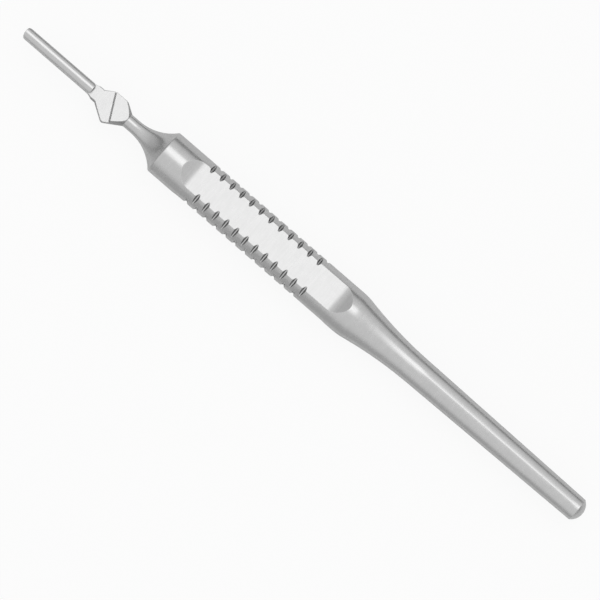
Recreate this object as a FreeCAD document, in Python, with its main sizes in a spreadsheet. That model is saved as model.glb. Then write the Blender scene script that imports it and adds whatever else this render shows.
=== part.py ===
import FreeCAD, Part
import math
import os
from collections import namedtuple
from types import SimpleNamespace

import Sketcher
from FreeCAD import Placement, Rotation, Vector

# Scalpel handle turned and milled from one bar of stainless steel, in millimetres.
# The handle's own axis is X: the blade fitting is at the low end, the domed tail at the high end,
# and the seat that the blade lies on faces +Z. Stations along X start at the tip of the nose.
# The handle lies on its grip, with its lowest line on Z = 0 and its middle over the origin.

NODE = "scalpel_handle"

SIZES = [
    ("length", 140.0, "overall length"),
    ("nose_length", 18.6, "tip to the foot of the collar"),
    ("nose_diameter", 3.1, "turned diameter of the nose"),
    ("nose_width", 2.14, "across the milled sides of the nose"),
    ("nose_run_out", 2.4, "milled sides of the nose at full depth to the foot of the collar"),
    ("nose_cutter_radius", 2.6, "hollow of the run-out"),
    ("nose_corner", 0.7, "plan radius of the two corners at the tip"),
    ("seat_height", 0.8, "blade seat above the axis"),
    ("seat_length", 3.36, "foot of the collar to the stop shoulder, along the axis"),
    ("stop_angle", 62.3, "stop shoulder against the axis, in degrees"),
    ("relief_width", 0.2, "clearance slot at the foot of the stop shoulder"),
    ("relief_depth", 0.3, "clearance slot below the seat"),
    ("underside_depth", 0.7, "milled underside below the axis"),
    ("underside_reach", 3.5, "foot of the collar to the end of the flat underside"),
    ("underside_cutter_radius", 3.0, "run-out of the underside into the collar"),
    ("lug_gap", 1.6, "back of the lug to the foot of the collar"),
    ("lug_rise", 1.16, "crown of the lug above the seat"),
    ("lug_crown_radius", 1.3, "round top of the lug"),
    ("lug_corner", 0.75, "plan radius of the two corners at the back of the lug"),
    ("lug_bevel", 0.2, "bevel at the back of the lug"),
    ("groove_length", 9.0, "blade grooves, from the tip"),
    ("groove_height", 0.4, "blade grooves, above the seat"),
    ("groove_depth", 0.35, "blade grooves, into each side of the lug"),
    ("collar_diameter", 7.14, "turned diameter of the collar"),
    ("collar_rim_radius", 0.8, "round on the rim of the collar"),
    ("collar_front_angle", 32.4, "front cone of the collar against the axis, in degrees"),
    ("collar_back_angle", 32.2, "back cone of the collar against the axis, in degrees"),
    ("collar_side", 2.58, "milled side of the collar, from the axis"),
    ("crest_margin", 0.09, "milled crest of the collar above the neck"),
    ("neck_diameter", 2.82, "neck behind the collar"),
    ("neck_length", 1.97, "straight stretch of the neck"),
    ("flare_radius", 9.3, "hollow flare from the neck to the grip"),
    ("grip_edge_radius", 0.3, "round on the front edge of the grip"),
    ("grip_diameter", 9.4, "grip across its round stretches"),
    ("grip_length", 46.24, "cylindrical stretch of the grip"),
    ("flat_count", 3, "finger flats around the grip, the middle one facing +Z"),
    ("flat_spacing", 127.0, "one finger flat to the next around the axis, in degrees"),
    ("flat_distance", 3.63, "finger flats, from the axis"),
    ("flat_start", 7.84, "front edge of the grip to the full depth of a flat"),
    ("flat_length", 34.9, "finger flats at full depth"),
    ("flat_cutter_radius", 4.5, "hollow from the depth of a flat to its ramps"),
    ("flat_ramp_angle", 24.0, "ramps at both ends of a flat against the axis, in degrees"),
    ("notch_count", 12, "notches in each row"),
    ("notch_start", 9.27, "front edge of the grip to the first notch"),
    ("notch_pitch", 2.43, "notch to notch along a row"),
    ("notch_depth", 0.47, "notches below the edge of a flat"),
    ("notch_floor", 0.26, "flat floor of a notch"),
    ("notch_angle", 72.0, "between the walls of a notch, in degrees"),
    ("shoulder_radius", 12.9, "round shoulder behind the grip"),
    ("taper_length", 17.1, "back edge of the grip to the front of the tail"),
    ("tail_front_diameter", 5.93, "front of the tail"),
    ("tail_back_diameter", 4.86, "back of the tail, where the domed end starts"),
    ("tail_end_length", 1.3, "domed end of the tail"),
]

# Formulas in the named sizes that several sketches share.
NECK_START = "TurnedProfile.Constraints.neck_start / 1 mm"
GRIP_START = "TurnedProfile.Constraints.grip_start / 1 mm"
BEYOND_TIP = "-Sizes.nose_diameter"
BEYOND_RIM = "Sizes.collar_diameter"
FIRST_FLAT = "-Sizes.flat_spacing * 1 deg"
FLAT_EDGE = "acos(2 * Sizes.flat_distance / Sizes.grip_diameter)"

# A sketch's own origin, as its constraints name it.
ORIGIN = (-1, 1)

Piece = namedtuple("Piece", "index first last centre", defaults=[3])


def make_sheet(doc):
    """The driving dimensions, one to a row, with their names as aliases."""
    sheet = doc.addObject("Spreadsheet::Sheet", "Sizes")
    for row, (alias, value, note) in enumerate(SIZES, start=1):
        sheet.set(f"A{row}", alias)
        sheet.set(f"B{row}", str(value))
        sheet.set(f"C{row}", note)
        sheet.setAlias(f"B{row}", alias)
    doc.recompute()


def origin_part(body, role):
    """One of the body's own origin planes or axes."""
    return next(part for part in body.Origin.OriginFeatures if part.Role == role)


class Outline:
    """A sketch drawn as lines and arcs laid end to end, and held by the named sizes."""

    def __init__(self, body, name, plane):
        self.body = body
        self.sketch = body.newObject("Sketcher::SketchObject", name)
        self.sketch.AttachmentSupport = (origin_part(body, plane), [""])
        self.sketch.MapMode = "FlatFace"

    def value(self, formula):
        """The number that a formula in the named sizes gives."""
        return float(self.sketch.evalExpression(formula))

    def lift(self, formula):
        """Raise the sketch off its plane."""
        self.sketch.setExpression("AttachmentOffset.Base.z", formula)

    def turn(self, formula):
        """Turn the sketch about its own level axis."""
        self.sketch.AttachmentOffset = Placement(Vector(), Rotation(Vector(1, 0, 0), 1))
        self.sketch.setExpression("AttachmentOffset.Rotation.Angle", formula)

    def line(self, start, end):
        """A straight edge between two points."""
        edge = Part.LineSegment(Vector(*start), Vector(*end))
        return Piece(self.sketch.addGeometry(edge), 1, 2)

    def arc(self, centre, radius, start, end):
        """An arc between two directions in degrees, clockwise where the second is smaller."""
        low, high = sorted((math.radians(start), math.radians(end)))
        circle = Part.Circle(Vector(*centre), Vector(0, 0, 1), radius)
        index = self.sketch.addGeometry(Part.ArcOfCircle(circle, low, high))
        return Piece(index, 1, 2) if end > start else Piece(index, 2, 1)

    def close(self, pieces, smooth=()):
        """Join the pieces into a loop. Each one in smooth runs on from the one before it."""
        for before, after in zip(pieces, pieces[1:] + pieces[:1]):
            kind = "Tangent" if after in smooth else "Coincident"
            self.rule(kind, (before.index, before.last), (after.index, after.first))

    def rule(self, kind, *spots):
        """A constraint that has no size."""
        self.sketch.addConstraint(Sketcher.Constraint(kind, *sum(spots, ())))

    def hold(self, kind, *spots, by):
        """A dimension that a formula in the named sizes drives."""
        number = self.value(by)
        if kind == "Angle":
            number = math.radians(number)
        index = self.sketch.addConstraint(Sketcher.Constraint(kind, *sum(spots, ()), number))
        self.sketch.setExpression(f"Constraints[{index}]", by)

    def measure(self, name, kind, *spots):
        """A named dimension that follows the sketch, for others to read."""
        index = self.sketch.addConstraint(Sketcher.Constraint(kind, *sum(spots, ()), 1.0))
        self.sketch.setDriving(index, False)
        self.sketch.renameConstraint(index, name)

    def pin(self, spot, along=None, up=None):
        """Hold a point at its distances from the sketch's own axes."""
        for kind, by in (("DistanceX", along), ("DistanceY", up)):
            if by is None:
                continue
            if self.value(by) < 0:
                self.hold(kind, spot, ORIGIN, by=f"-({by})")
            else:
                self.hold(kind, ORIGIN, spot, by=by)

    def polygon(self, *corners):
        """A closed polygon, each corner given by two formulas."""
        points = [(self.value(along), self.value(up)) for along, up in corners]
        edges = [self.line(a, b) for a, b in zip(points, points[1:] + points[:1])]
        self.close(edges)
        for edge, (along, up) in zip(edges, corners):
            self.pin((edge.index, edge.first), along, up)

    def cut(self, name, depth=None, reversed=False, both_sides=False):
        """Mill the outline away: to a depth, or right through."""
        pocket = self.body.newObject("PartDesign::Pocket", name)
        pocket.Profile = self.sketch
        pocket.Reversed = reversed
        pocket.SideType = "Symmetric" if both_sides else "One side"
        pocket.Type = "ThroughAll" if depth is None else "Length"
        if depth is not None:
            pocket.setExpression("Length", depth)
        return pocket


def turned_blank(body, sizes):
    """The turned bar: nose, double-cone collar, neck, flare, grip, shoulder, taper and tail."""
    outline = Outline(body, "TurnedProfile", "XZ_Plane")

    nose = sizes.nose_diameter / 2
    rim = sizes.collar_rim_radius
    rim_up = sizes.collar_diameter / 2 - rim
    front = math.radians(sizes.collar_front_angle)
    back = math.radians(sizes.collar_back_angle)
    climb_end = (
        sizes.nose_length + (rim_up + rim * math.cos(front) - nose) / math.tan(front),
        rim_up + rim * math.cos(front),
    )
    rim_centre = (climb_end[0] + rim * math.sin(front), rim_up)
    fall_start = (rim_centre[0] + rim * math.sin(back), rim_up + rim * math.cos(back))
    neck = sizes.neck_diameter / 2
    neck_start = fall_start[0] + (fall_start[1] - neck) / math.tan(back)
    neck_end = neck_start + sizes.neck_length

    grip = sizes.grip_diameter / 2
    edge = sizes.grip_edge_radius
    flare = sizes.flare_radius
    drop = neck + flare - (grip - edge)
    flare_turn = math.degrees(math.acos(drop / (flare + edge)))
    grip_start = neck_end + math.sqrt((flare + edge) ** 2 - drop ** 2)
    grip_end = grip_start + sizes.grip_length

    tail_front = (grip_end + sizes.taper_length, sizes.tail_front_diameter / 2)
    tail_back = (sizes.length - sizes.tail_end_length, sizes.tail_back_diameter / 2)
    taper_turn = 2 * math.atan2(grip - tail_front[1], sizes.taper_length)
    taper = sizes.taper_length / math.sin(taper_turn) - sizes.shoulder_radius
    taper_turn = math.degrees(taper_turn)
    end_radius = (sizes.tail_end_length ** 2 + tail_back[1] ** 2) / (2 * sizes.tail_end_length)
    end_turn = math.degrees(math.asin(tail_back[1] / end_radius))

    tip = outline.line((0, 0), (0, nose))
    nose_top = outline.line((0, nose), (sizes.nose_length, nose))
    climb = outline.line((sizes.nose_length, nose), climb_end)
    rim_arc = outline.arc(
        rim_centre, rim, 90 + sizes.collar_front_angle, 90 - sizes.collar_back_angle
    )
    fall = outline.line(fall_start, (neck_start, neck))
    neck_top = outline.line((neck_start, neck), (neck_end, neck))
    flare_arc = outline.arc((neck_end, neck + flare), flare, -90, flare_turn - 90)
    edge_arc = outline.arc((grip_start, grip - edge), edge, 90 + flare_turn, 90)
    grip_top = outline.line((grip_start, grip), (grip_end, grip))
    shoulder_arc = outline.arc(
        (grip_end, grip - sizes.shoulder_radius), sizes.shoulder_radius, 90, 90 - taper_turn
    )
    taper_arc = outline.arc((tail_front[0], tail_front[1] + taper), taper, -90 - taper_turn, -90)
    tail_top = outline.line(tail_front, tail_back)
    end_arc = outline.arc((sizes.length - end_radius, 0), end_radius, end_turn, 0)
    axis = outline.line((sizes.length, 0), (0, 0))

    outline.close(
        [tip, nose_top, climb, rim_arc, fall, neck_top, flare_arc, edge_arc, grip_top,
         shoulder_arc, taper_arc, tail_top, end_arc, axis],
        smooth=[rim_arc, fall, flare_arc, edge_arc, grip_top, shoulder_arc, taper_arc, tail_top],
    )
    outline.rule("Coincident", (tip.index, tip.first), ORIGIN)
    for level in (nose_top, neck_top, grip_top, axis):
        outline.rule("Horizontal", (level.index,))
    outline.rule("Vertical", (tip.index,))

    outline.pin((nose_top.index, 2), "Sizes.nose_length", "Sizes.nose_diameter / 2")
    outline.hold("Angle", (climb.index,), by="Sizes.collar_front_angle")
    outline.hold("Angle", (fall.index,), by="-Sizes.collar_back_angle")
    outline.hold("Radius", (rim_arc.index,), by="Sizes.collar_rim_radius")
    outline.pin(
        (rim_arc.index, rim_arc.centre), up="Sizes.collar_diameter / 2 - Sizes.collar_rim_radius"
    )
    outline.pin((neck_top.index, 1), up="Sizes.neck_diameter / 2")
    outline.hold("Distance", (neck_top.index,), by="Sizes.neck_length")
    outline.hold("Radius", (flare_arc.index,), by="Sizes.flare_radius")
    outline.hold("Radius", (edge_arc.index,), by="Sizes.grip_edge_radius")
    outline.pin((grip_top.index, 1), up="Sizes.grip_diameter / 2")
    outline.hold("Distance", (grip_top.index,), by="Sizes.grip_length")
    outline.hold("Radius", (shoulder_arc.index,), by="Sizes.shoulder_radius")
    outline.hold("DistanceX", (grip_top.index, 2), (tail_top.index, 1), by="Sizes.taper_length")
    outline.pin((tail_top.index, 1), up="Sizes.tail_front_diameter / 2")
    outline.pin(
        (tail_top.index, 2), "Sizes.length - Sizes.tail_end_length", "Sizes.tail_back_diameter / 2"
    )
    outline.rule("PointOnObject", (end_arc.index, end_arc.centre), (axis.index,))
    outline.pin((axis.index, 1), along="Sizes.length")
    outline.measure("neck_start", "DistanceX", ORIGIN, (neck_top.index, 1))
    outline.measure("grip_start", "DistanceX", ORIGIN, (grip_top.index, 1))

    blank = body.newObject("PartDesign::Revolution", "TurnedBlank")
    blank.Profile = outline.sketch
    blank.ReferenceAxis = (outline.sketch, ["H_Axis"])
    blank.Angle = 360
    body.Document.recompute()


def mill_collar(body):
    """The flat crest and the one flat side of the collar."""
    crest = Outline(body, "CrestOutline", "XY_Plane")
    crest.lift("Sizes.neck_diameter / 2 + Sizes.crest_margin")
    crest.polygon(
        (BEYOND_TIP, f"-{BEYOND_RIM}"),
        (NECK_START, f"-{BEYOND_RIM}"),
        (NECK_START, BEYOND_RIM),
        (BEYOND_TIP, BEYOND_RIM),
    )
    crest.cut("Crest", reversed=True)

    side = Outline(body, "CollarSideOutline", "XY_Plane")
    side.polygon(
        (BEYOND_TIP, "Sizes.collar_side"),
        (NECK_START, "Sizes.collar_side"),
        (NECK_START, BEYOND_RIM),
        (BEYOND_TIP, BEYOND_RIM),
    )
    side.cut("CollarSide", both_sides=True)


def mill_underside(body, sizes):
    """The flat underside of the fitting, which runs out into the collar on the cutter's radius."""
    outline = Outline(body, "UndersideOutline", "XZ_Plane")
    radius = sizes.underside_cutter_radius
    front = -sizes.nose_diameter
    back = sizes.nose_length + sizes.underside_reach
    top = -sizes.underside_depth
    bottom = -sizes.collar_diameter

    flat = outline.line((front, top), (back, top))
    run_out = outline.arc((back, top - radius), radius, 90, 0)
    behind = outline.line((back + radius, top - radius), (back + radius, bottom))
    below = outline.line((back + radius, bottom), (front, bottom))
    ahead = outline.line((front, bottom), (front, top))
    outline.close([flat, run_out, behind, below, ahead], smooth=[run_out, behind])
    outline.rule("Horizontal", (flat.index,))
    outline.rule("Vertical", (behind.index,))
    outline.rule("Horizontal", (below.index,))
    outline.rule("Vertical", (ahead.index,))
    outline.pin((flat.index, 1), BEYOND_TIP, "-Sizes.underside_depth")
    outline.pin((flat.index, 2), along="Sizes.nose_length + Sizes.underside_reach")
    outline.hold("Radius", (run_out.index,), by="Sizes.underside_cutter_radius")
    outline.pin((below.index, 1), up=f"-{BEYOND_RIM}")
    outline.cut("Underside", both_sides=True)


def mill_seat(body):
    """The blade seat, its oblique stop shoulder and the clearance slot at the shoulder's foot."""
    stop = "(Sizes.nose_length + Sizes.seat_length)"
    lean = f"{BEYOND_RIM} / tan(Sizes.stop_angle)"
    relief = f"{stop} - Sizes.relief_width / sin(Sizes.stop_angle)"

    seat = Outline(body, "SeatOutline", "XY_Plane")
    seat.lift("Sizes.seat_height")
    seat.polygon(
        (BEYOND_TIP, f"-{BEYOND_RIM}"),
        (f"{stop} + {lean}", f"-{BEYOND_RIM}"),
        (f"{stop} - {lean}", BEYOND_RIM),
        (BEYOND_TIP, BEYOND_RIM),
    )
    seat.cut("Seat", reversed=True)

    slot = Outline(body, "ReliefOutline", "XY_Plane")
    slot.lift("Sizes.seat_height")
    slot.polygon(
        (f"{relief} + {lean}", f"-{BEYOND_RIM}"),
        (f"{stop} + {lean}", f"-{BEYOND_RIM}"),
        (f"{stop} - {lean}", BEYOND_RIM),
        (f"{relief} - {lean}", BEYOND_RIM),
    )
    slot.cut("Relief", depth="Sizes.relief_depth")


def lug_bar(body, sizes):
    """The lug that the blade's slot drops over: a straight bar with a round top."""
    outline = Outline(body, "LugSection", "YZ_Plane")
    half = sizes.nose_width / 2
    radius = sizes.lug_crown_radius
    crown_up = sizes.seat_height + sizes.lug_rise - radius
    turn = math.degrees(math.asin(half / radius))
    side_up = crown_up + radius * math.cos(math.radians(turn))

    base = outline.line((-half, 0), (half, 0))
    right = outline.line((half, 0), (half, side_up))
    crown = outline.arc((0, crown_up), radius, 90 - turn, 90 + turn)
    left = outline.line((-half, side_up), (-half, 0))
    outline.close([base, right, crown, left])
    outline.rule("Symmetric", (base.index, 1), (base.index, 2), ORIGIN)
    outline.rule("Horizontal", (base.index,))
    outline.rule("Vertical", (right.index,))
    outline.rule("Vertical", (left.index,))
    outline.rule("Vertical", ORIGIN, (crown.index, crown.centre))
    outline.hold("Distance", (base.index,), by="Sizes.nose_width")
    outline.hold("Radius", (crown.index,), by="Sizes.lug_crown_radius")
    outline.pin(
        (crown.index, crown.centre), up="Sizes.seat_height + Sizes.lug_rise - Sizes.lug_crown_radius"
    )

    lug = body.newObject("PartDesign::Pad", "Lug")
    lug.Profile = outline.sketch
    lug.setExpression("Length", "Sizes.nose_length - Sizes.lug_gap")
    body.Document.recompute()

    corners = body.newObject("PartDesign::Fillet", "LugCorners")
    corners.Base = (lug, upright_edges(lug.Shape, sizes.nose_length - sizes.lug_gap, half))
    corners.setExpression("Radius", "Sizes.lug_corner")


def upright_edges(shape, station, half):
    """Names of the upright edges at a station, one at each side of the axis."""
    names = []
    for number, edge in enumerate(shape.Edges, start=1):
        ends = [vertex.Point for vertex in edge.Vertexes]
        for side in (-half, half):
            on_line = [
                math.isclose(end.x, station, abs_tol=1e-6)
                and math.isclose(end.y, side, abs_tol=1e-6)
                for end in ends
            ]
            if all(on_line) and len(on_line) == 2:
                names.append(f"Edge{number}")
    return names


def mill_nose(body, sizes):
    """The nose's two sides with their run-outs and tip corners, and the two blade grooves."""
    side = Outline(body, "NoseSideOutline", "XY_Plane")
    half = sizes.nose_width / 2
    corner = sizes.nose_corner
    radius = sizes.nose_cutter_radius
    front = -sizes.nose_diameter
    back = sizes.nose_length
    straight = back - sizes.nose_run_out
    far = sizes.collar_diameter
    reach = math.asin(sizes.nose_run_out / radius)
    run_out_up = half + radius * (1 - math.cos(reach))

    middle = side.line((front, 0), (0, 0))
    tip = side.line((0, 0), (0, half - corner))
    tip_corner = side.arc((corner, half - corner), corner, 180, 90)
    flank = side.line((corner, half), (straight, half))
    run_out = side.arc((straight, half + radius), radius, -90, math.degrees(reach) - 90)
    behind = side.line((back, run_out_up), (back, far))
    above = side.line((back, far), (front, far))
    ahead = side.line((front, far), (front, 0))
    side.close(
        [middle, tip, tip_corner, flank, run_out, behind, above, ahead],
        smooth=[tip_corner, flank, run_out],
    )
    side.rule("Coincident", (tip.index, 1), ORIGIN)
    for level in (middle, flank, above):
        side.rule("Horizontal", (level.index,))
    for upright in (tip, behind, ahead):
        side.rule("Vertical", (upright.index,))
    side.hold("Radius", (tip_corner.index,), by="Sizes.nose_corner")
    side.pin((flank.index, 2), "Sizes.nose_length - Sizes.nose_run_out", "Sizes.nose_width / 2")
    side.hold("Radius", (run_out.index,), by="Sizes.nose_cutter_radius")
    side.pin((behind.index, 2), "Sizes.nose_length", BEYOND_RIM)
    side.pin((middle.index, 1), along=BEYOND_TIP)
    nose_side = side.cut("NoseSide", both_sides=True)

    groove = Outline(body, "GrooveOutline", "YZ_Plane")
    floor = "Sizes.nose_width / 2 - Sizes.groove_depth"
    outside = "Sizes.nose_width / 2 + Sizes.groove_depth"
    top = "Sizes.seat_height + Sizes.groove_height"
    groove.polygon(
        (floor, "Sizes.seat_height"),
        (outside, "Sizes.seat_height"),
        (outside, top),
        (floor, top),
    )
    blade_groove = groove.cut("BladeGroove", depth="Sizes.groove_length", reversed=True)

    mirrored = body.newObject("PartDesign::Mirrored", "OtherSide")
    mirrored.Originals = [nose_side, blade_groove]
    mirrored.MirrorPlane = (origin_part(body, "XZ_Plane"), [""])
    body.Tip = mirrored


def bevel_lug(body):
    """The light bevel across the back of the lug's crown."""
    outline = Outline(body, "BevelOutline", "XZ_Plane")
    bevel = "Sizes.lug_bevel"
    back = "(Sizes.nose_length - Sizes.lug_gap)"
    crown = "(Sizes.seat_height + Sizes.lug_rise)"
    outline.polygon(
        (f"{back} - 2 * {bevel}", f"{crown} + {bevel}"),
        (f"{back} + {bevel}", f"{crown} - 2 * {bevel}"),
        (f"{back} + {bevel}", f"{crown} + {bevel}"),
    )
    outline.cut("LugBevel", both_sides=True)


def mill_flats(body, sizes):
    """The finger flats, milled lengthways, with a hollow and a straight ramp at both ends."""
    outline = Outline(body, "FlatOutline", "XZ_Plane")
    outline.turn(FIRST_FLAT)
    radius = sizes.flat_cutter_radius
    ramp = sizes.flat_ramp_angle
    start = outline.value(f"{GRIP_START} + Sizes.flat_start")
    end = start + sizes.flat_length
    up = sizes.flat_distance
    top = outline.value(BEYOND_RIM)
    hollow = radius * math.sin(math.radians(ramp))
    ramp_up = up + radius * (1 - math.cos(math.radians(ramp)))
    reach = hollow + (top - ramp_up) / math.tan(math.radians(ramp))

    floor = outline.line((start, up), (end, up))
    back = outline.arc((end, up + radius), radius, -90, ramp - 90)
    back_ramp = outline.line((end + hollow, ramp_up), (end + reach, top))
    above = outline.line((end + reach, top), (start - reach, top))
    front_ramp = outline.line((start - reach, top), (start - hollow, ramp_up))
    front = outline.arc((start, up + radius), radius, -90 - ramp, -90)
    outline.close(
        [floor, back, back_ramp, above, front_ramp, front],
        smooth=[back, back_ramp, front, floor],
    )
    outline.rule("Horizontal", (floor.index,))
    outline.rule("Horizontal", (above.index,))
    outline.pin((floor.index, 1), f"{GRIP_START} + Sizes.flat_start", "Sizes.flat_distance")
    outline.hold("Distance", (floor.index,), by="Sizes.flat_length")
    outline.hold("Radius", (front.index,), by="Sizes.flat_cutter_radius")
    outline.hold("Radius", (back.index,), by="Sizes.flat_cutter_radius")
    outline.hold("Angle", (front_ramp.index,), by="-Sizes.flat_ramp_angle")
    outline.hold("Angle", (back_ramp.index,), by="Sizes.flat_ramp_angle")
    outline.pin((above.index, 1), up=BEYOND_RIM)
    flat = outline.cut("FingerFlat", both_sides=True)

    flats = body.newObject("PartDesign::PolarPattern", "FingerFlats")
    flats.Originals = [flat]
    around_axis(body, flats)
    body.Tip = flats


def around_axis(body, pattern):
    """Repeat a feature of the first finger flat on the others."""
    pattern.Axis = (origin_part(body, "X_Axis"), [""])
    pattern.setExpression("Angle", "Sizes.flat_spacing * (Sizes.flat_count - 1) * 1 deg")
    pattern.setExpression("Occurrences", "Sizes.flat_count")


def notch_rows(body, name, angle, first):
    """The notches along one edge of every flat: a row of V cuts, repeated around the axis."""
    outline = Outline(body, f"{name}Outline", "XZ_Plane")
    outline.turn(angle)
    middle = f"{GRIP_START} + Sizes.notch_start + {first}"
    floor = "Sizes.grip_diameter / 2 - Sizes.notch_depth"
    mouth = "Sizes.grip_diameter / 2 + Sizes.notch_depth"
    half_floor = "Sizes.notch_floor / 2"
    half_mouth = f"({half_floor} + 2 * Sizes.notch_depth * tan(Sizes.notch_angle / 2))"
    outline.polygon(
        (f"{middle} - {half_floor}", floor),
        (f"{middle} + {half_floor}", floor),
        (f"{middle} + {half_mouth}", mouth),
        (f"{middle} - {half_mouth}", mouth),
    )
    notch = outline.cut(name, both_sides=True)

    along = body.Document.addObject("PartDesign::LinearPattern", f"{name}Along")
    along.Direction = (origin_part(body, "X_Axis"), [""])
    along.setExpression("Occurrences", "Sizes.notch_count")
    along.setExpression("Length", "Sizes.notch_pitch * (Sizes.notch_count - 1)")
    around = body.Document.addObject("PartDesign::PolarPattern", f"{name}Around")
    around_axis(body, around)
    rows = body.newObject("PartDesign::MultiTransform", f"{name}Rows")
    rows.Originals = [notch]
    rows.Transformations = [along, around]
    body.Tip = rows
    body.Document.recompute()


def check(doc, body):
    """Stop if anything failed, is loosely drawn or leaves the solid as it was."""
    failed = [item.Name for item in doc.Objects if {"Invalid", "Error"} & set(item.State)]
    if failed:
        raise RuntimeError(f"failed: {failed}")
    loose = [
        item.Name
        for item in doc.findObjects("Sketcher::SketchObject")
        if not item.FullyConstrained
    ]
    if loose:
        raise RuntimeError(f"not fully held: {loose}")
    for feature in body.Group:
        before = getattr(feature, "BaseFeature", None)
        if before and math.isclose(feature.Shape.Volume, before.Shape.Volume, rel_tol=1e-9):
            raise RuntimeError(f"changes nothing: {feature.Name}")
    if body.Shape.isNull() or not body.Shape.isValid() or len(body.Shape.Solids) != 1:
        raise RuntimeError("the handle is not one valid solid")


def main():
    doc = FreeCAD.newDocument("ScalpelHandle")
    sizes = SimpleNamespace(**{alias: value for alias, value, note in SIZES})
    make_sheet(doc)
    body = doc.addObject("PartDesign::Body", "Handle")
    body.Label = NODE
    turned_blank(body, sizes)
    mill_collar(body)
    mill_underside(body, sizes)
    mill_seat(body)
    lug_bar(body, sizes)
    mill_nose(body, sizes)
    bevel_lug(body)
    mill_flats(body, sizes)
    notch_rows(body, "LeadingNotch", f"{FIRST_FLAT} - {FLAT_EDGE}", "0")
    notch_rows(body, "TrailingNotch", f"{FIRST_FLAT} + {FLAT_EDGE}", "Sizes.notch_pitch / 2")
    body.setExpression("Placement.Base.x", "-Sizes.length / 2")
    body.setExpression("Placement.Base.z", "Sizes.grip_diameter / 2")
    doc.recompute()
    check(doc, body)
    os.makedirs("parts", exist_ok=True)
    body.Shape.exportStep(f"parts/{NODE}.step")
    centre = body.Shape.CenterOfGravity
    print(f"{NODE}: volume {body.Shape.Volume:.1f} mm3, centre of mass {centre.x:.2f},", end=" ")
    print(f"{centre.y:.3f}, {centre.z - sizes.grip_diameter / 2:.3f} from the axis")


main()
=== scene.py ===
import math

import bpy
from mathutils import Matrix, Vector

# The scalpel handle lies along X on a white table, with its blade seat facing up.
# The camera looks down on it from almost straight above. Lengths are in metres, apart from the
# camera's sensor, which is in millimetres, and angles are in degrees.

AXIS_HEIGHT = 0.0047
ALONG = Vector((1, 0, 0))

CAMERA_TILT = 9.0
CAMERA_TURN = 40.877
CAMERA_TARGET = (0.00278, -0.00435)
CAMERA_DISTANCE = 1.2
PICTURE_WIDTH = 0.11407
SENSOR_WIDTH = 36.0
CLIP_SPAN = (0.01, 20.0)

# Where the panel stands around the camera's view, and half its width and length, as angles.
PANEL_TILT = 21.5
PANEL_TURN = 1.5
PANEL_WIDTH = 17.5
PANEL_LENGTH = 11.5
PANEL_SOFTNESS = 2.5
PANEL_STRENGTH = 0.86

# The tent's grey, from square to the camera's view, at 0, to straight behind the camera, at 1.
TENT_GREYS = [(0.0, 0.26), (0.1, 0.36), (0.2, 0.63), (0.36, 0.76), (0.6, 0.84), (1.0, 0.86)]
DIM_END_SPAN = (-0.95, -0.35)
DIM_END_SHARE = 0.68

TABLE_REACH = 3.0
TABLE_GREY = 0.84
TABLE_GLOW_SHARE = 0.9
CARD_REACH = 0.3
CARD_EDGE = -0.011
CARD_HEIGHT = 0.0001
CARD_GREY = 0.62

# Stretches of the handle's length. In the grip's, a surface nearer the axis than this reach is
# milled, and the turned ones are farther out.
COLLAR_SPAN = (-0.0532, -0.0444)
GRIP_SPAN = (-0.0310, 0.0120)
TURNED_REACH = 0.0044

STEEL_GREY = 0.6
# Painted shade: the steel's grey deep in the notches and the stop slot.
RECESS_SHADE_GREY = 0.12
MILLED_SHARE = 0.95
# Painted shade: how much darker the collar's turned cones are drawn.
CONE_SHADE_SHARE = 0.66
# Painted highlight: how much lighter the steel is drawn along open edges.
EDGE_GLINT_SHARE = 1.25
SMOOTHEST = 0.24
ROUGHEST = 0.28
MILLED_ROUGHNESS = 0.03
RECESS_REACH = 0.0006
EDGE_RADIUS = 0.00015
MARK_DEPTH = 0.000002
MARK_STRENGTH = 0.25
CLOUD_SCALE = 900.0
RING_STRETCH = (9000.0, 300.0, 300.0)
STROKE_STRETCH = (3500.0, 220.0, 220.0)
STROKE_TURN = 28.0

NEARLY_ZERO = 0.001
NEARLY_LEVEL = 0.999


class Graph:
    """Builds a node tree, one call to a node."""

    def __init__(self, tree):
        self.tree = tree
        tree.nodes.clear()

    def add(self, kind, inputs=None, **settings):
        """A node with its settings. An input is a number, a colour or another node's socket."""
        node = self.tree.nodes.new(kind)
        for name, value in settings.items():
            setattr(node, name, value)
        for key, value in (inputs or {}).items():
            if isinstance(value, bpy.types.NodeSocket):
                self.tree.links.new(value, node.inputs[key])
            else:
                node.inputs[key].default_value = value
        return node

    def math(self, operation, first, second=0.0):
        """The result of one sum."""
        return self.add("ShaderNodeMath", {0: first, 1: second}, operation=operation).outputs[0]

    def combine(self, operation, first, second, result="Vector"):
        """The result of one sum on two vectors."""
        node = self.add("ShaderNodeVectorMath", {0: first, 1: second}, operation=operation)
        return node.outputs[result]

    def dot(self, vector, way):
        """How far a vector reaches along a direction."""
        return self.combine("DOT_PRODUCT", vector, way, "Value")

    def mix(self, factor, first, second):
        """The number between two others at a factor."""
        node = self.add(
            "ShaderNodeMix", {"Factor": factor, "A": first, "B": second}, data_type="FLOAT"
        )
        return node.outputs["Result"]

    def fade(self, value, low, high, at_low=0.0, at_high=1.0):
        """A soft step from one level to another as the value goes from low to high."""
        node = self.add(
            "ShaderNodeMapRange",
            {
                "Value": value,
                "From Min": low,
                "From Max": high,
                "To Min": at_low,
                "To Max": at_high,
            },
            interpolation_type="SMOOTHSTEP",
        )
        return node.outputs["Result"]

    def ramp(self, factor, stops):
        """The grey at a factor on a ramp of (position, grey) stops."""
        node = self.add("ShaderNodeValToRGB", {"Fac": factor})
        elements = node.color_ramp.elements
        while len(elements) < len(stops):
            elements.new(1.0)
        for element, (position, grey) in zip(elements, stops):
            element.position = position
            element.color = (grey, grey, grey, 1.0)
        return node.outputs["Color"]


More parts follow.
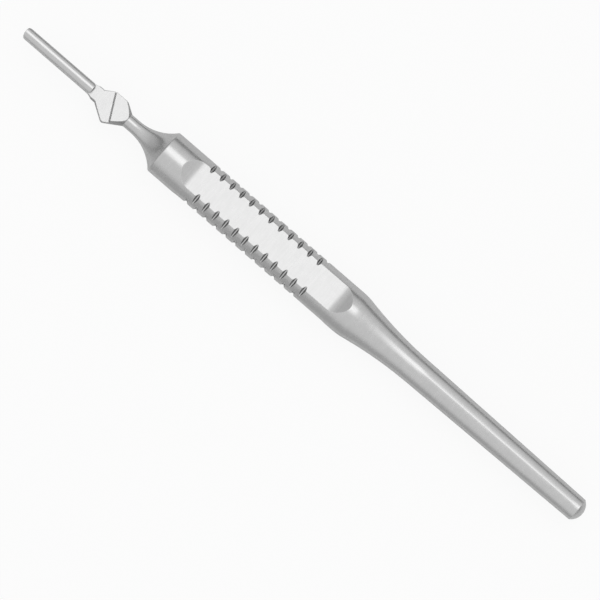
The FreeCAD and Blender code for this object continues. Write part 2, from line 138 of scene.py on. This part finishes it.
def view_axes():
    """Across the handle, and back toward the camera, both square to the handle's length."""
    tilt = math.radians(CAMERA_TILT)
    across = Vector((0, math.cos(tilt), math.sin(tilt)))
    back = Vector((0, -math.sin(tilt), math.cos(tilt)))
    return across, back


def place_camera():
    """The camera above the handle, which it sees from corner to corner of the picture."""
    across, back = view_axes()
    turn = math.radians(CAMERA_TURN)
    right = math.cos(turn) * ALONG + math.sin(turn) * across
    up = -math.sin(turn) * ALONG + math.cos(turn) * across
    data = bpy.data.cameras.new("camera")
    camera = bpy.data.objects.new("camera", data)
    bpy.context.scene.collection.objects.link(camera)
    station, side = CAMERA_TARGET
    target = Vector((station, 0, AXIS_HEIGHT)) + side * across
    place = target + CAMERA_DISTANCE * back
    camera.matrix_world = Matrix(
        [[right[i], up[i], back[i], place[i]] for i in range(3)] + [[0, 0, 0, 1]]
    )
    data.sensor_width = SENSOR_WIDTH
    data.lens = SENSOR_WIDTH * CAMERA_DISTANCE / PICTURE_WIDTH
    data.clip_start, data.clip_end = CLIP_SPAN
    bpy.context.scene.camera = camera


def light_studio():
    """A studio tent, pale around the camera and darker low down, with one soft bright panel."""
    across, back = view_axes()
    world = bpy.data.worlds.new("studio")
    bpy.context.scene.world = world
    world.use_nodes = True
    graph = Graph(world.node_tree)
    toward = graph.add("ShaderNodeTexCoord").outputs["Generated"]

    near_camera = graph.math("MAXIMUM", graph.dot(toward, back), 0.0)
    tent = graph.ramp(near_camera, TENT_GREYS)
    dim_end = graph.fade(graph.dot(toward, ALONG), *DIM_END_SPAN, DIM_END_SHARE, 1.0)
    tent = graph.math("MULTIPLY", tent, dim_end)

    tilt = math.radians(PANEL_TILT)
    turn = math.radians(PANEL_TURN)
    panel_way = math.cos(tilt) * back + math.sin(tilt) * across
    panel_side = math.cos(tilt) * across - math.sin(tilt) * back
    panel_end = math.cos(turn) * ALONG - math.sin(turn) * panel_way
    panel_way = math.cos(turn) * panel_way + math.sin(turn) * ALONG
    facing = graph.math("MAXIMUM", graph.dot(toward, panel_way), NEARLY_ZERO)
    panel = PANEL_STRENGTH
    for way, reach in ((panel_side, PANEL_WIDTH), (panel_end, PANEL_LENGTH)):
        slope = graph.math("DIVIDE", graph.dot(toward, way), facing)
        inner = math.tan(math.radians(reach - PANEL_SOFTNESS))
        outer = math.tan(math.radians(reach + PANEL_SOFTNESS))
        edge = graph.fade(graph.math("ABSOLUTE", slope), inner, outer, 1.0, 0.0)
        panel = graph.math("MULTIPLY", edge, panel)

    light = graph.math("ADD", tent, panel)
    ray = graph.add("ShaderNodeLightPath").outputs["Is Camera Ray"]
    strength = graph.mix(ray, light, 1.0)
    background = graph.add(
        "ShaderNodeBackground", {"Color": (1.0, 1.0, 1.0, 1.0), "Strength": strength}
    )
    graph.add("ShaderNodeOutputWorld", {"Surface": background.outputs["Background"]})


def stage_plane(name, low, high, height, material):
    """A level rectangle that belongs to the stage."""
    mesh = bpy.data.meshes.new(name)
    corners = [
        (low[0], low[1], height),
        (high[0], low[1], height),
        (high[0], high[1], height),
        (low[0], high[1], height),
    ]
    mesh.from_pydata(corners, [], [(0, 1, 2, 3)])
    mesh.materials.append(material)
    plane = bpy.data.objects.new(name, mesh)
    bpy.context.scene.collection.objects.link(plane)
    return plane


def new_material(name):
    """A material and the graph of its empty node tree."""
    material = bpy.data.materials.new(name)
    material.use_nodes = True
    return material, Graph(material.node_tree)


def matt_surface(graph, grey):
    """A plain matt shader of one grey."""
    return graph.add("ShaderNodeBsdfDiffuse", {"Color": (grey, grey, grey, 1.0)}).outputs["BSDF"]


def white_table():
    """White, with a soft share of the handle's shadow."""
    material, graph = new_material("white table")
    matt = matt_surface(graph, TABLE_GREY)
    glow = graph.add("ShaderNodeEmission", {"Color": (1.0, 1.0, 1.0, 1.0), "Strength": 1.0})
    path = graph.add("ShaderNodeLightPath")
    seen = graph.math("MULTIPLY", path.outputs["Is Camera Ray"], TABLE_GLOW_SHARE)
    mixed = graph.add("ShaderNodeMixShader", {0: seen, 1: matt, 2: glow.outputs["Emission"]})
    graph.add("ShaderNodeOutputMaterial", {"Surface": mixed.outputs["Shader"]})
    return material


def grey_card():
    """Plain grey card."""
    material, graph = new_material("grey card")
    graph.add("ShaderNodeOutputMaterial", {"Surface": matt_surface(graph, CARD_GREY)})
    return material


def set_stage():
    """The table, and a grey card beside the handle that only its reflections show."""
    reach = TABLE_REACH
    stage_plane("table", (-reach, -reach), (reach, reach), 0.0, white_table())
    near = (-CARD_REACH, -CARD_REACH)
    far = (CARD_REACH, CARD_EDGE)
    card = stage_plane("card", near, far, CARD_HEIGHT, grey_card())
    card.visible_camera = False
    card.visible_diffuse = False
    card.visible_shadow = False


def between(graph, value, span):
    """One where a value is within a span, zero outside it."""
    above = graph.math("GREATER_THAN", value, span[0])
    below = graph.math("LESS_THAN", value, span[1])
    return graph.math("MULTIPLY", above, below)


def cut_shares(graph, place, facing):
    """How far a surface is one of the milled levels and flats, or of the collar's turned cones,
    which painted shade darkens.
    """
    station = graph.dot(place, ALONG)
    from_axis = graph.combine("SUBTRACT", place, (0.0, 0.0, AXIS_HEIGHT))
    outward = graph.combine("MULTIPLY", from_axis, facing)
    reach = graph.dot(outward, (0, 1, 1))
    inside_round = graph.math("LESS_THAN", reach, TURNED_REACH)
    flats = graph.math("MULTIPLY", between(graph, station, GRIP_SPAN), inside_round)
    level = graph.math("GREATER_THAN", graph.dot(facing, (0, 0, 1)), NEARLY_LEVEL)
    collar = between(graph, station, COLLAR_SPAN)
    seat = graph.math("MULTIPLY", collar, level)
    return graph.math("MAXIMUM", flats, seat), graph.math("SUBTRACT", collar, seat)


def tool_marks(graph, place, turn, stretch):
    """Fine parallel marks: noise drawn out one way on the surface."""
    laid = graph.add(
        "ShaderNodeMapping",
        {"Vector": place, "Rotation": (0.0, 0.0, math.radians(turn)), "Scale": stretch},
    ).outputs["Vector"]
    return graph.add(
        "ShaderNodeTexNoise", {"Vector": laid, "Scale": 1.0, "Detail": 3.0}
    ).outputs["Fac"]


def recess_shade_share(graph, facing, open_to):
    """How far a surface lies in a notch, by its cross walls, or in the stop slot, where painted
    shade darkens it.
    """
    walls = graph.fade(graph.math("ABSOLUTE", graph.dot(facing, ALONG)), 0.3, 0.5)
    notches = graph.math("MULTIPLY", walls, graph.fade(open_to, 0.55, 0.95, 1.0, 0.0))
    slots = graph.fade(open_to, 0.2, 0.5, 0.35, 0.0)
    return graph.math("MAXIMUM", notches, slots)


def edge_glint_share(graph, facing, edges, open_to):
    """How far a surface lies on an open edge, where a painted highlight lightens the steel."""
    bent = graph.fade(graph.dot(edges, facing), 0.93, 0.985, 1.0, 0.0)
    return graph.math("MULTIPLY", bent, graph.fade(open_to, 0.85, 1.0))


def steel_shade(graph, recess_shade, spreads):
    """The steel's grey: darker in recesses by painted shade, then changed by each share between
    two levels.
    """
    shade = graph.fade(recess_shade, 0.0, 1.0, STEEL_GREY, RECESS_SHADE_GREY)
    for spread in spreads:
        shade = graph.math("MULTIPLY", shade, graph.fade(*spread))
    return shade


def satin_steel():
    """Satin stainless steel: marks around the turned lengths and across the milled flats."""
    material, graph = new_material("satin steel")
    place = graph.add("ShaderNodeTexCoord").outputs["Object"]
    facing = graph.add("ShaderNodeNewGeometry").outputs["True Normal"]
    milled, cones = cut_shares(graph, place, facing)

    cloud = graph.add(
        "ShaderNodeTexNoise", {"Vector": place, "Scale": CLOUD_SCALE, "Detail": 4.0}
    ).outputs["Fac"]
    rings = tool_marks(graph, place, 0.0, RING_STRETCH)
    strokes = tool_marks(graph, place, STROKE_TURN, STROKE_STRETCH)
    marks = graph.mix(milled, rings, strokes)

    open_to = graph.add(
        "ShaderNodeAmbientOcclusion", {"Distance": RECESS_REACH}, samples=8, only_local=True
    ).outputs["AO"]
    edges = graph.add("ShaderNodeBevel", {"Radius": EDGE_RADIUS}, samples=6).outputs["Normal"]
    # Painted shade in the notches and the stop slot, where the surface is closed in.
    recess_shade = recess_shade_share(graph, facing, open_to)
    # Painted highlight along open edges.
    edge_glint = edge_glint_share(graph, facing, edges, open_to)

    shade = steel_shade(
        graph,
        recess_shade,
        [
            (cloud, 0.3, 0.7, 0.98, 1.02),
            (marks, 0.3, 0.7, 0.98, 1.02),
            (milled, 0.0, 1.0, 1.0, MILLED_SHARE),
            # Painted shade on the collar's turned cones.
            (cones, 0.0, 1.0, 1.0, CONE_SHADE_SHARE),
            # Painted highlight along open edges.
            (edge_glint, 0.0, 1.0, 1.0, EDGE_GLINT_SHARE),
        ],
    )
    colour = graph.add(
        "ShaderNodeCombineColor", {"Red": shade, "Green": shade, "Blue": shade}
    ).outputs["Color"]

    clouded = graph.fade(cloud, 0.3, 0.7, SMOOTHEST, ROUGHEST)
    rough = graph.math("ADD", clouded, graph.fade(milled, 0.0, 1.0, 0.0, MILLED_ROUGHNESS))
    bump = graph.add(
        "ShaderNodeBump",
        {"Height": marks, "Strength": MARK_STRENGTH, "Distance": MARK_DEPTH, "Normal": edges},
    ).outputs["Normal"]
    steel = graph.add(
        "ShaderNodeBsdfPrincipled",
        {"Base Color": colour, "Metallic": 1.0, "Roughness": rough, "Normal": bump},
    )
    graph.add("ShaderNodeOutputMaterial", {"Surface": steel.outputs["BSDF"]})
    return material


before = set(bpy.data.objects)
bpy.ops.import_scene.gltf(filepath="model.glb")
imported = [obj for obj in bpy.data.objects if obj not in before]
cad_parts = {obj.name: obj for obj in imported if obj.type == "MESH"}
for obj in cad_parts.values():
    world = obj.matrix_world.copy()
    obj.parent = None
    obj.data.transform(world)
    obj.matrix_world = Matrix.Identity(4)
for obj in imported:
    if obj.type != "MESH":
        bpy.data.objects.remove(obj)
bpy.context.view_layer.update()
bpy.context.scene.view_settings.view_transform = "Standard"
place_camera()
light_studio()
set_stage()
steel = satin_steel()
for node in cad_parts.values():
    for slot in node.material_slots:
        slot.material = steel
